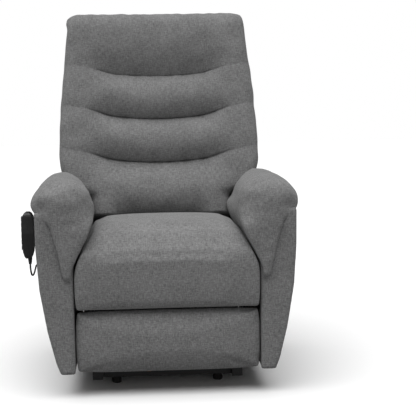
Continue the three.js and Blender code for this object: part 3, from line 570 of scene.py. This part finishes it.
@dataclass(frozen=True)
class Rubber(Finish):
    """Matt black rubber or PVC: a dusty bloom over a fine rough skin."""

    grain: float = 0.9 * MM
    patch: float = 11 * MM
    bloom: str = "262524"
    depth: float = 0.05 * MM

    def dress(self, tree: bpy.types.NodeTree, shader: bpy.types.Node) -> None:
        """Adds the bloom and the skin's relief."""
        solid = add_node(tree, "TexCoord").outputs["Object"]
        skin = self.noise(tree, solid, (self.grain,) * 3, 2)
        bloom = self.noise(tree, solid, (self.patch,) * 3, 3)
        blend(tree, shader, bloom, self.colour, self.bloom)
        self.relief(tree, shader, skin, self.depth)


class Finishes(Enum):
    """The chair's finishes by the record's slot."""

    UPHOLSTERY = HeatherWeave("heather_weave", "747474", 0.92)
    BLACK_STEEL = Coated("powder_coated_steel", "141416", 0.42)
    ZINC_WIRE = ZincPlate("zinc_plated_steel", "c3c6c8", 0.3, 1.0)
    PLYWOOD = Plywood("raw_plywood", "c09a68", 0.7)
    BLACK_PLASTIC = Coated("moulded_abs_black", "0e0e0f", 0.42, peel=0.7 * MM)
    GREY_PLASTIC = Coated("moulded_abs_grey", "6e7073", 0.45, rubbed="7c7e80")
    RUBBER = Rubber("black_rubber", "101010", 0.8)

    @property
    def slot(self) -> str:
        """The record's slot of this finish."""
        return self.name.lower()

    def put_on(self, piece: bpy.types.Object) -> None:
        """Makes this the piece's only material."""
        piece.data.materials.clear()
        piece.data.materials.append(self.value.material())


# ---- the chair's own frame


@dataclass(frozen=True)
class ChairFrame:
    """Where the chair's own drawing lies in the frame: its plane of symmetry and its back pivot."""

    middle: float
    pivot_y: float
    pivot_z: float
    shift_y: float
    incline: float = math.radians(16)

    @classmethod
    def found(cls) -> "ChairFrame":
        """Reads the recline joint and the seat's box."""
        low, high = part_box("seat_cushion")
        joint = next(j for j in frame["joints"] if j["name"] == "recline")
        _, y, z = joint["pos_m"]
        return cls((low.x + high.x) / 2, y, z, y - DRAWN_PIVOT_Y)

    def on_back(self, x: Array, v: Array, w: Array) -> Array:
        """Places points of the leaning back.

        Args:
            x: Places across, from the plane of symmetry.
            v: Places up the back, from its pivot.
            w: Places behind the line up the back from its pivot.

        Returns:
            Rows of x, y, z in the frame.
        """
        s, c = math.sin(self.incline), math.cos(self.incline)
        return np.stack([self.middle + x, self.pivot_y + v * s + w * c,
                         self.pivot_z + v * c - w * s], 1)

    def from_drawing(self, points: Array) -> Array:
        """Turns millimetres of the drawing into metres of the frame."""
        return points * MM + np.array([self.middle, self.shift_y, 0])


# ---- camera, light and floor


@dataclass
class Studio:
    """Camera, a wide soft light from above, and a white floor that throws little light back."""

    place: tuple[float, float, float] = (-0.091, -3.619, 0.870)
    yaw: float = -3.97
    pitch: float = -6.0
    roll: float = -0.85
    focal: float = 100.1
    ambient: float = 0.12  # the backdrop's light, as a share of its look
    sun_strength: float = 3.4
    sun_width: float = 75.0  # in degrees: the wider, the softer its shadows
    sun_lean: tuple[float, float] = (13.0, -4.0)
    area_lamps: tuple = (  # name, place, target, size and power
        ("front", (0.5, -4.0, 1.0), (0.0, 0.0, 0.3), 2.2, 18),
        ("left", (-3.0, -1.2, 2.8), (0.0, 0.0, 0.5), 2.0, 10),
    )
    floor_half: float = 14.0
    floor_seen: str = "fafafa"
    floor_bounce: str = "8c8c8c"

    def build(self) -> None:
        """Makes the camera, the world, the lamps and the floor."""
        self.camera()
        self.world()
        self.lamps()
        self.floor()

    def camera(self) -> None:
        """Makes the scene's camera."""
        data = bpy.data.cameras.new("camera")
        data.lens = self.focal
        data.sensor_width = 36
        camera = add_object("camera", data)
        camera.location = self.place
        turn = Euler((math.radians(90 + self.pitch), 0, math.radians(self.yaw)))
        tilt = Euler((0, 0, math.radians(self.roll)))
        camera.rotation_euler = (turn.to_matrix() @ tilt.to_matrix()).to_euler()
        bpy.context.scene.camera = camera

    def world(self) -> None:
        """Makes a white backdrop that gives only a little light of its own."""
        world = bpy.data.worlds.new("studio")
        world.use_nodes = True
        tree = world.node_tree
        seen = add_node(tree, "LightPath").outputs["Is Camera Ray"]
        strength = add_node(tree, "MapRange", {"Value": seen, "To Min": self.ambient})
        tree.links.new(strength.outputs[0], tree.nodes["Background"].inputs["Strength"])
        tree.nodes["Background"].inputs["Color"].default_value = (1, 1, 1, 1)
        bpy.context.scene.world = world
        bpy.context.scene.view_settings.view_transform = "Standard"

    def lamps(self) -> None:
        """Makes a wide overhead light, and weaker lamps in front and on one side."""
        data = bpy.data.lights.new("overhead", "SUN")
        data.energy = self.sun_strength
        data.angle = math.radians(self.sun_width)
        lamp = add_object("overhead", data)
        lamp.rotation_euler = (*map(math.radians, self.sun_lean), 0)
        for name, at, to, size, power in self.area_lamps:
            data = bpy.data.lights.new(name, "AREA")
            data.size = size
            data.energy = power
            lamp = add_object(name, data)
            lamp.location = at
            way = Vector(to) - Vector(at)
            lamp.rotation_euler = way.to_track_quat("-Z", "Y").to_euler()

    def floor(self) -> None:
        """Makes the floor: white to the camera, greyer to the light that it throws back."""
        h = self.floor_half
        corners = np.array([[-h, -h, 0], [h, -h, 0], [h, h, 0], [-h, h, 0]])
        floor = new_piece("floor", corners, np.array([[0, 1, 2, 3]]))
        made = bpy.data.materials.new("pale_floor")
        made.use_nodes = True
        tree = made.node_tree
        shader = tree.nodes["Principled BSDF"]
        seen = add_node(tree, "LightPath").outputs["Is Camera Ray"]
        blend(tree, shader, seen, self.floor_bounce, self.floor_seen)
        shader.inputs["Roughness"].default_value = 0.8
        shader.inputs["Specular IOR Level"].default_value = 0.0
        floor.data.materials.append(made)


# ---- cord


@dataclass
class HandsetCord:
    """The handset's lead, from the boot under the handset to the grommet in the side panel."""

    chair: ChairFrame
    radius: float = 2.5 * MM
    start_x: float = -388.3
    start_y: float = -330.0
    bottom: float = 372.7
    grommet_y: float = -150.0
    grommet_z: float = 345.0
    sides: int = 16
    steps: int = 160

    def route(self) -> Array:
        """Gives the points that the lead follows, as rows of x, y, z in metres."""
        x, y, b = self.start_x, self.start_y, self.bottom
        end = (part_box("handset_cord")[1].x - self.chair.middle) / MM
        gy, gz = self.grommet_y, self.grommet_z
        points = [
            (x, y, b), (x, y, b - 8), (x + 0.4, y + 3, b - 17), (x + 0.8, y + 11, b - 26),
            (x + 1.2, y + 24, b - 34), (x + 1.6, y + 42, b - 39), (x + 2, y + 64, b - 42),
            (x + 2.4, y + 88, b - 42), (x + 2.8, y + 112, b - 39.5), (x + 3.2, y + 134, b - 35),
            (x + 3.8, y + 152, b - 30), (end - 17.5, gy - 15, gz - 0.3),
            (end - 13.5, gy - 5, gz), (end - 5, gy - 0.4, gz), (end, gy, gz),
        ]
        return self.chair.from_drawing(np.array(points))

    def build(self) -> None:
        """Carries a circle along a smooth curve through the route."""
        knots = self.route()
        ends = np.vstack([2 * knots[0] - knots[1], knots, 2 * knots[-1] - knots[-2]])
        line = curve_through(ends, np.linspace(0, len(knots) - 1 - 1e-9, self.steps + 1))
        ahead = np.gradient(line, axis=0)
        ahead /= np.linalg.norm(ahead, axis=1, keepdims=True)
        never_along = [1.0, 0.3, 0.1]
        across = np.cross(ahead, never_along)
        across /= np.linalg.norm(across, axis=1, keepdims=True)
        up = np.cross(across, ahead)
        angle = np.linspace(0, 2 * math.pi, self.sides, endpoint=False)
        circle = (across[:, None] * np.cos(angle)[None, :, None]
                  + up[:, None] * np.sin(angle)[None, :, None])
        points = (line[:, None] + self.radius * circle).reshape(-1, 3)
        number = np.arange(len(points)).reshape(len(line), self.sides)
        nearer = np.roll(number, -1, 1)
        faces = np.stack([number[:-1], nearer[:-1], nearer[1:], number[1:]], -1).reshape(-1, 4)
        lead = new_piece("handset_lead", points, faces, (number[0][::-1], number[-1]))
        shade_smooth(lead)
        Finishes.RUBBER.put_on(lead)
        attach(lead, "chair")
        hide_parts("handset_cord")


# ---- upholstery


@dataclass
class Upholstery:
    """What every stuffed piece shares: how it is finished and attached to its body."""

    chair: ChairFrame

    def finish(self, piece: bpy.types.Object, body: str, node: str, fill: float) -> None:
        """Dresses a stuffed piece, sets what it rides on and hides the CAD node that it stands for.

        Args:
            piece: The cover.
            body: The body that it rides on.
            node: The CAD node that it stands for.
            fill: How firmly it is stuffed; not used.
        """
        shade_smooth(piece)
        map_threads(piece)
        Finishes.UPHOLSTERY.put_on(piece)
        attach(piece, body)
        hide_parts(node)
        LOG.info("%s: %d faces", piece.name, len(piece.data.polygons))


@dataclass
class BackUpholstery(Upholstery):
    """The back: head, shoulder, middle and lumbar rolls with smile seams between them."""

    top: float = 0.815
    bottom: float = 0.132
    wing_bottom: float = 0.325
    wing_corner: float = 0.122
    wing_half: float = 0.326
    top_half: float = 0.289
    lumbar_half: float = 0.225
    crest: float = -0.157  # w of the rolls' crests
    rear: float = -0.018
    wrap_rear: float = 0.014
    seams: tuple = ((0.313, 0.042), (0.458, 0.042), (0.602, 0.032))  # middle, and rise beside
    seam_rows: tuple = (0.26, 0.48, 0.70)  # where the seams are in the grid's rows
    gather: float = 0.45  # how much the rows crowd towards a seam
    groove: float = 0.050
    groove_at_side: float = 0.005
    groove_band: tuple = (0.42, 0.78)  # where a groove fades, from the middle to a side
    lip_sag: float = 0.013  # how far a roll's lower lip hangs over its seam
    lip_reach: float = 0.06
    side_radius: float = 0.042
    top_radius: float = 0.055
    corner_drop: float = 0.018
    corner_cut: float = 0.014
    ear: float = 0.005  # width of the fold at the sitter's top right
    ear_band: tuple = (0.046, 0.036)
    wrap_side: tuple = (0.205, 0.213)  # where the cover starts to wrap the rear
    wrap_top: tuple = (0.776, 0.784)
    counts: tuple = (92, 12, 100)
    cap: float = 12 * MM
    pressure: float = 2.5

    def half_at(self, v: Array, level: Array) -> Array:
        """Half width: 1.5-power taper above the wings, a quarter ellipse down to the lumbar.

        Args:
            v: Places up the back.
            level: Places up the back's front at the same heights, which the ellipse follows.
        """
        t = np.clip((v - self.wing_bottom) / (self.top - self.wing_bottom), 0, 1)
        taper = mix(self.wing_half, self.top_half, t ** 1.5)
        drop = np.clip((self.wing_bottom - level) / self.wing_corner, 0, 1)
        wing = self.lumbar_half + (self.wing_half - self.lumbar_half) * np.sqrt(1 - drop ** 2)
        half = np.where(level < self.wing_bottom, wing, taper)
        near_top = np.clip((v - self.top + self.corner_drop) / self.corner_drop, 0, 1)
        return half - self.corner_cut * quarter_round(near_top, 0.98)

    def depth_at(self, middle: Array, roll: Array, t: Array) -> Array:
        """How deep the cloth lies behind the crests: deep grooves that fade to thin side seams.

        Args:
            middle: 1 in the middle of the back, and 0 at its sides.
            roll: Number of the roll, from the lumbar one, 0, to the head's.
            t: Places up the roll, from 0 to 1.
        """
        amount = mix(self.groove_at_side, self.groove, middle)
        crown = np.sin(math.pi * t ** 0.85) ** 0.8
        head = np.sin(math.pi / 2 * np.minimum(t / 0.60, 1)) ** 0.8
        return amount * (1 - np.where(roll == 3, head, crown))

    def surface(self, cube: Array) -> Array:
        """Places the cube's skin: rows follow the smile seams, columns the half width."""
        u, d, s = cube[:, 0], cube[:, 1], (cube[:, 2] + 1) / 2
        levels = np.array([0, *self.seam_rows, 1])
        middle = 1 - smooth(*self.groove_band, np.abs(u))
        smile = np.abs(u) ** 1.8
        edges = [np.full_like(u, self.bottom)]
        edges += [low + rise * smile for low, rise in self.seams]
        edges += [np.full_like(u, self.top)]
        edges = np.stack(edges)
        roll = np.clip(np.searchsorted(levels, s, side="right") - 1, 0, 3)
        column = np.arange(len(u))
        t = (s - levels[roll]) / (levels[roll + 1] - levels[roll])
        t = np.clip(t - self.gather * np.sin(2 * math.pi * t) / (2 * math.pi), 0, 1)
        v = mix(edges[roll, column], edges[roll + 1, column], t)
        level = v - math.tan(self.chair.incline) * (d + 1) / 2 * (self.rear - self.crest)
        half = self.half_at(v, level)
        x = u * half
        low, high = (self.top - below for below in self.ear_band)
        x = x + np.minimum(u, 0) * self.ear * smooth(low, high, v)
        front = self.crest + self.depth_at(middle, roll, t)
        edge = np.clip((np.abs(x) - half + self.side_radius) / self.side_radius, 0, 1)
        front += self.side_radius * quarter_round(edge)
        over = np.clip((v - self.top + self.top_radius) / self.top_radius, 0, 1)
        front += self.top_radius * quarter_round(over)
        lip = np.where(roll > 0, t / self.lip_reach * np.exp(1 - t / self.lip_reach), 0)
        v = v - self.lip_sag * lip * middle * (d < 0)
        wrapped = np.maximum(smooth(*self.wrap_side, np.abs(x)), smooth(*self.wrap_top, v))
        rear = mix(self.rear, self.wrap_rear, wrapped)
        return self.chair.on_back(x, v, mix(front, rear, (d + 1) / 2))

    def build(self) -> None:
        """Makes the back's stuffed cover, held behind its front, at its seams and at its sides."""
        cube, faces = box_grid(self.counts)
        piece = new_piece("back_cover", self.surface(cube), faces)
        u, d, s = cube[:, 0], cube[:, 1], cube[:, 2]
        held = (d > -0.99) * 0.9
        rows = np.array(self.seam_rows) * 2 - 1
        near = np.abs(s[:, None] - rows[None, :]).min(1)
        held = np.maximum(held, 1 - smooth(0.01, 0.05, near))
        held = np.maximum(held, (np.abs(u) > 0.97) * 0.8)
        swell(piece, self.cap, lambda points: held, self.pressure)
        finer(piece)
        self.crease(piece)
        self.finish(piece, "back", "back_cushion", 0.75)

    def crease(self, piece: bpy.types.Object) -> None:
        """Adds slack folds beside the seams, as short waves across the seam."""
        points = positions(piece.data)
        out = normals(piece.data)
        slack = 0.9 * MM * ripple(points, 0.045, 3, (1.0, 1.0, 2.2))
        place(piece.data, points + out * slack[:, None])


@dataclass
class SeatUpholstery(Upholstery):
    """The seat: one cushion that rolls over the front and down to the footrest."""

    voxel: float = 6 * MM
    rounds: int = 14
    cap: float = 5 * MM
    side_give: float = 1.5 * MM  # how far its sides may swell towards the arms

    def build(self) -> None:
        """Makes the seat's stuffed cover from the cushion's solid."""
        low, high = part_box("seat_cushion")
        piece = copy_of("seat_cover", "seat_cushion")
        remesh(piece, self.voxel, self.rounds)
        half = (high.x - low.x) / 2

        def held(points: Array) -> Array:
            """Holds the underside, the rear and the sides."""
            side = smooth(0.90, 0.97, np.abs(points[:, 0] - self.chair.middle) / half)
            under = 1 - smooth(low.z + 0.06, low.z + 0.10, points[:, 2])
            inner = smooth(low.y + 0.03, low.y + 0.04, points[:, 1])
            return np.maximum(side * 0.7, under * inner)

        swell(piece, self.cap, held)
        points = positions(piece.data)
        reach = half + self.side_give
        points[:, 0] = np.clip(points[:, 0], self.chair.middle - reach,
                               self.chair.middle + reach)
        place(piece.data, points)
        finer(piece)
        self.finish(piece, "chair", "seat_cushion", 0.8)


class Side(Enum):
    """The chair's two sides, by the sitter's own."""

    LEFT = 1
    RIGHT = -1

    @property
    def word(self) -> str:
        """The side's name in a node."""
        return self.name.lower()


@dataclass
class ArmUpholstery(Upholstery):
    """One arm: a stuffed pad that drapes to a point in front, over a padded side panel.

    Places in the outline are across from the seat's side of the arm, and down from the crown.
    """

    side: Side = Side.LEFT
    voxel: float = 5.2 * MM
    rounds: int = 5
    cap: float = 10 * MM
    arm_top: float = 0.528
    panel_front: float = -0.430
    front: float = -0.449
    core: tuple = (0.036, -0.066)  # the dome's ridge: from here to the tip
    tip: tuple = (0.012, -0.262)
    upper_setback: float = 0.092
    drape_setback: float = 0.010
    setback_band: tuple = (-0.145, -0.075)
    dome_rings: int = 15
    dome_power: float = 2.2
    lean_across: float = 0.030  # how far the side beside the seat falls away
    lean_down: float = 0.058
    lean_width: float = 0.092
    lean_from: float = 0.470
    lean_height: float = 0.100
    dimple: tuple = (0.087, -0.076)
    dimple_radius: float = 0.020
    dimple_depth: float = 0.010

    def inner(self) -> float:
        """Distance of the arm's inner face from the plane of symmetry."""
        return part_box("arm_panel_left")[0].x - self.chair.middle

    def outline(self, width: float, crown: float, count: int = 168) -> Array:
        """The pad from the front: a closed curve through its turning points.

        Args:
            width: Width of the pad outside the seat's side of the arm.
            crown: Height of its crown.
            count: Points on the curve.

        Returns:
            Rows of x and z, for the left arm.
        """
        knots = np.array([
            (0.0367, 0), (0.0767, -0.012), (width - 0.0113, -0.042), (width, -0.068),
            (width - 0.0073, -0.092), (0.0817, -0.117), (0.0627, -0.133), (0.0427, -0.201),
            (0.030, -0.262), (0.024, -0.277), (0.0075, -0.277), (0.0025, -0.250),
            (-0.0143, -0.212), (-0.0413, -0.159), (-0.0563, -0.117), (-0.0573, -0.075),
            (-0.0443, -0.032), (-0.0083, -0.006),
        ])
        around = np.vstack([knots[-1:], knots, knots[:2]])
        curve = curve_through(around, np.linspace(0, len(knots), count, endpoint=False))
        return curve + np.array([self.inner(), crown])

    def stations(self, start: Array, rear: float) -> list[tuple]:
        """How the outline is changed behind the dome.

        Args:
            start: Where the rings start, for each point of the outline.
            rear: Where the pad ends.

        Returns:
            For each ring its place along the arm, the share of the outline's size that is left,
            how far the crown has dropped, and how far the seat's side has leant away, 0 to 1.
        """
        return [(start, 1.0, 0.0, 0.0), (-0.36, 1.0, 0.0, 0.05), (-0.2, 1.0, 0.0, 0.3),
                (0.0, 1.0, 0.004, 0.6), (0.10, 1.0, 0.012, 0.75),
                (rear - 0.042, 1.0, 0.032, 0.95), (rear - 0.014, 0.965, 0.041, 1.0),
                (rear - 0.003, 0.9, 0.047, 1.0), (rear, 0.8, 0.050, 1.0)]

    def skin(self) -> tuple[Array, Array]:
        """Rings along the pad: a domed front over the whole outline, then the part above the arm.

        Returns:
            The vertices and the four-sided faces.
        """
        low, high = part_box("arm_pad_left")
        inner, crown = self.inner(), high.z
        full = self.outline(high.x - self.chair.middle - inner, crown)
        core = np.array([inner + self.core[0], crown + self.core[1]])
        tip = np.array([inner + self.tip[0], crown + self.tip[1]])
        way = tip - core
        share = np.clip((full - core) @ way / (way @ way), 0, 1)[:, None]
        spine = core + share * way
        least, most = (crown + down for down in self.setback_band)
        setback = mix(self.drape_setback, self.upper_setback, smooth(least, most, full[:, 1]))
        rings: list[Array] = []
        for k in np.linspace(1, 0, self.dome_rings):
            rise = (1 - (1 - k) ** self.dome_power) ** (1 / self.dome_power)
            across = mix(full, spine, k)
            y = self.front + setback * (1 - rise)
            rings.append(np.stack([across[:, 0], y, across[:, 1]], 1))
        behind = np.where(full[:, 0] > inner, np.maximum(full[:, 1], self.arm_top + 1 * MM),
                          full[:, 1])
        rear = high.y - self.chair.shift_y
        step = self.panel_front - 1 * MM
        rings.append(np.stack([full[:, 0], np.maximum(rings[-1][:, 1] + 1 * MM, step),
                               full[:, 1]], 1))
        seatward = np.clip((core[0] - full[:, 0]) / self.lean_width, 0, 1)
        seatward *= np.clip((full[:, 1] - self.lean_from) / self.lean_height, 0, 1)
        for y, size, drop, lean in self.stations(rings[-1][:, 1] + 0.5 * MM, rear):
            x = mix(core[0], full[:, 0], size) + self.lean_across * lean * seatward
            z = mix(core[1], behind, size)
            fall = drop * np.clip((z - self.arm_top) / (crown - self.arm_top), 0, 1)
            fall = fall + self.lean_down * lean * seatward
            rings.append(np.stack([x, np.broadcast_to(y, x.shape), z - fall], 1))
        last = rings[-1]
        line = np.stack([np.full(len(full), core[0]), last[:, 1],
                         np.clip(last[:, 2], self.arm_top + 0.02, crown - 0.06)], 1)
        rings.append(mix(last, line, 0.98))
        points = np.concatenate(rings)
        points[:, 0] = self.side.value * points[:, 0]
        points += np.array([self.chair.middle, self.chair.shift_y, 0])
        number = np.arange(len(points)).reshape(len(rings), len(full))
        nearer = np.roll(number, -1, 1)
        faces = np.stack([number[:-1], number[1:], nearer[1:], nearer[:-1]], -1).reshape(-1, 4)
        return points, faces

    def build(self) -> None:
        """Makes the arm's pad, its side panel and the cloth on its frame."""
        self.pad()
        self.panel()
        self.lining()

    def lining(self) -> None:
        """Makes the cloth glued over the arm's wooden frame, which shows beside and behind."""
        piece = copy_of(f"arm_lining_{self.side.word}", f"arm_frame_{self.side.word}")
        place(piece.data, positions(piece.data) + 0.3 * MM * normals(piece.data))
        map_threads(piece)
        Finishes.UPHOLSTERY.put_on(piece)
        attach(piece, "chair")

    def pad(self) -> None:
        """Makes the arm's pad."""
        points, faces = self.skin()
        piece = new_piece(f"arm_pad_cover_{self.side.word}", points, faces)
        remesh(piece, self.voxel, self.rounds)
        middle, inner = self.chair.middle, self.inner()

        def held(points: Array) -> Array:
            """Holds what lies on the arm's frame, beside the seat and along the drape's edge."""
            across = (points[:, 0] - middle) * self.side.value
            under = 1 - smooth(self.arm_top, self.arm_top + 0.02, points[:, 2])
            behind = smooth(-0.42, -0.40, points[:, 1] - self.chair.shift_y)
            wedge = 1 - smooth(inner - 0.005, inner + 0.01, across)
            low = 1 - smooth(self.arm_top - 0.02, self.arm_top + 0.01, points[:, 2])
            return np.maximum(under * behind, np.maximum(wedge * under * 0.6, low * 0.75))

        swell(piece, self.cap, held)
        finer(piece)
        self.press(piece)
        self.finish(piece, "chair", f"arm_pad_{self.side.word}", 0.8)

    def press(self, piece: bpy.types.Object) -> None:
        """Presses the dimple at the top of the drape's seam: a bell of depth in the front."""
        points = positions(piece.data)
        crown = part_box("arm_pad_left")[1].z
        x = (points[:, 0] - self.chair.middle) * self.side.value - self.inner()
        z = points[:, 2] - crown
        away = np.hypot(x - self.dimple[0], z - self.dimple[1]) / self.dimple_radius
        frontness = 1 - smooth(-0.44, -0.37, points[:, 1] - self.chair.shift_y)
        points[:, 1] += self.dimple_depth * np.exp(-away ** 2) * frontness
        out = normals(piece.data)
        slack = 0.7 * MM * ripple(points, 0.04, 5 + self.side.value, (1, 2, 1))
        place(piece.data, points + out * slack[:, None])

    def panel(self) -> None:
        """Makes the side panel's cover."""
        node = f"arm_panel_{self.side.word}"
        piece = copy_of(f"side_panel_cover_{self.side.word}", node)
        remesh(piece, 4.5 * MM, 3)
        self.finish(piece, "chair", node, 0.3)


@dataclass
class FlatUpholstery(Upholstery):
    """The thin padded panels: footrest, outer back and valance."""

    rounds: int = 8

    def build(self) -> None:
        """Makes the three panels."""
        self.panel("footrest_cover", "footrest_pad", "footrest", 5 * MM, 8 * MM)
        self.panel("outer_back_cover", "back_outer_panel", "back", 6 * MM, 0)
        self.panel("rear_valance_cover", "rear_valance", "chair", 4 * MM, 0)

    def panel(self, name: str, node: str, body: str, voxel: float, cap: float) -> None:
        """Makes one panel's cover.

        Args:
            name: The piece's name.
            node: The CAD node that it stands for.
            body: The body that it rides on.
            voxel: Size of its faces, in metres.
            cap: How far its front may swell, or 0.
        """
        low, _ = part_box(node)
        piece = copy_of(name, node)
        remesh(piece, voxel, self.rounds)
        if cap:
            swell(piece, cap, lambda points: smooth(low.y + 0.02, low.y + 0.03, points[:, 1]))
        self.finish(piece, body, node, 0.5)


# ---- hard parts


@dataclass
class HardParts:
    """The CAD nodes that keep their shape: each gets a small bevel and its finish."""

    bevels: dict = field(default_factory=lambda: {
        "black_steel": 0.7 * MM, "black_plastic": 1.8 * MM, "grey_plastic": 1.0 * MM,
        "plywood": 0.5 * MM, "rubber": 0.5 * MM,
    })
    sharpest: float = 40.0  # in degrees: a flatter edge stays as it is

    def build(self) -> None:
        """Dresses every CAD node that is still shown."""
        slots = {part["node"]: part["material_slot"] for part in frame["record"]["subparts"]}
        for name, node in frame["nodes"].items():
            if node.hide_render:
                continue
            slot = slots[name]
            Finishes[slot.upper()].put_on(node)
            if slot in self.bevels and "rod" not in name:
                bevel = node.modifiers.new("edge", "BEVEL")
                bevel.width = self.bevels[slot]
                bevel.segments = 2
                bevel.limit_method = "ANGLE"
                bevel.angle_limit = math.radians(self.sharpest)
                bevel.harden_normals = True


# ---- the whole chair


def main() -> None:
    """Builds the studio and the chair's looks in order."""
    logging.basicConfig(level=logging.INFO, format="%(message)s")
    chair = ChairFrame.found()
    Studio().build()
    HandsetCord(chair).build()
    BackUpholstery(chair).build()
    SeatUpholstery(chair).build()
    for side in Side:
        ArmUpholstery(chair, side=side).build()
    FlatUpholstery(chair).build()
    HardParts().build()


if __name__ == "__main__":
    main()
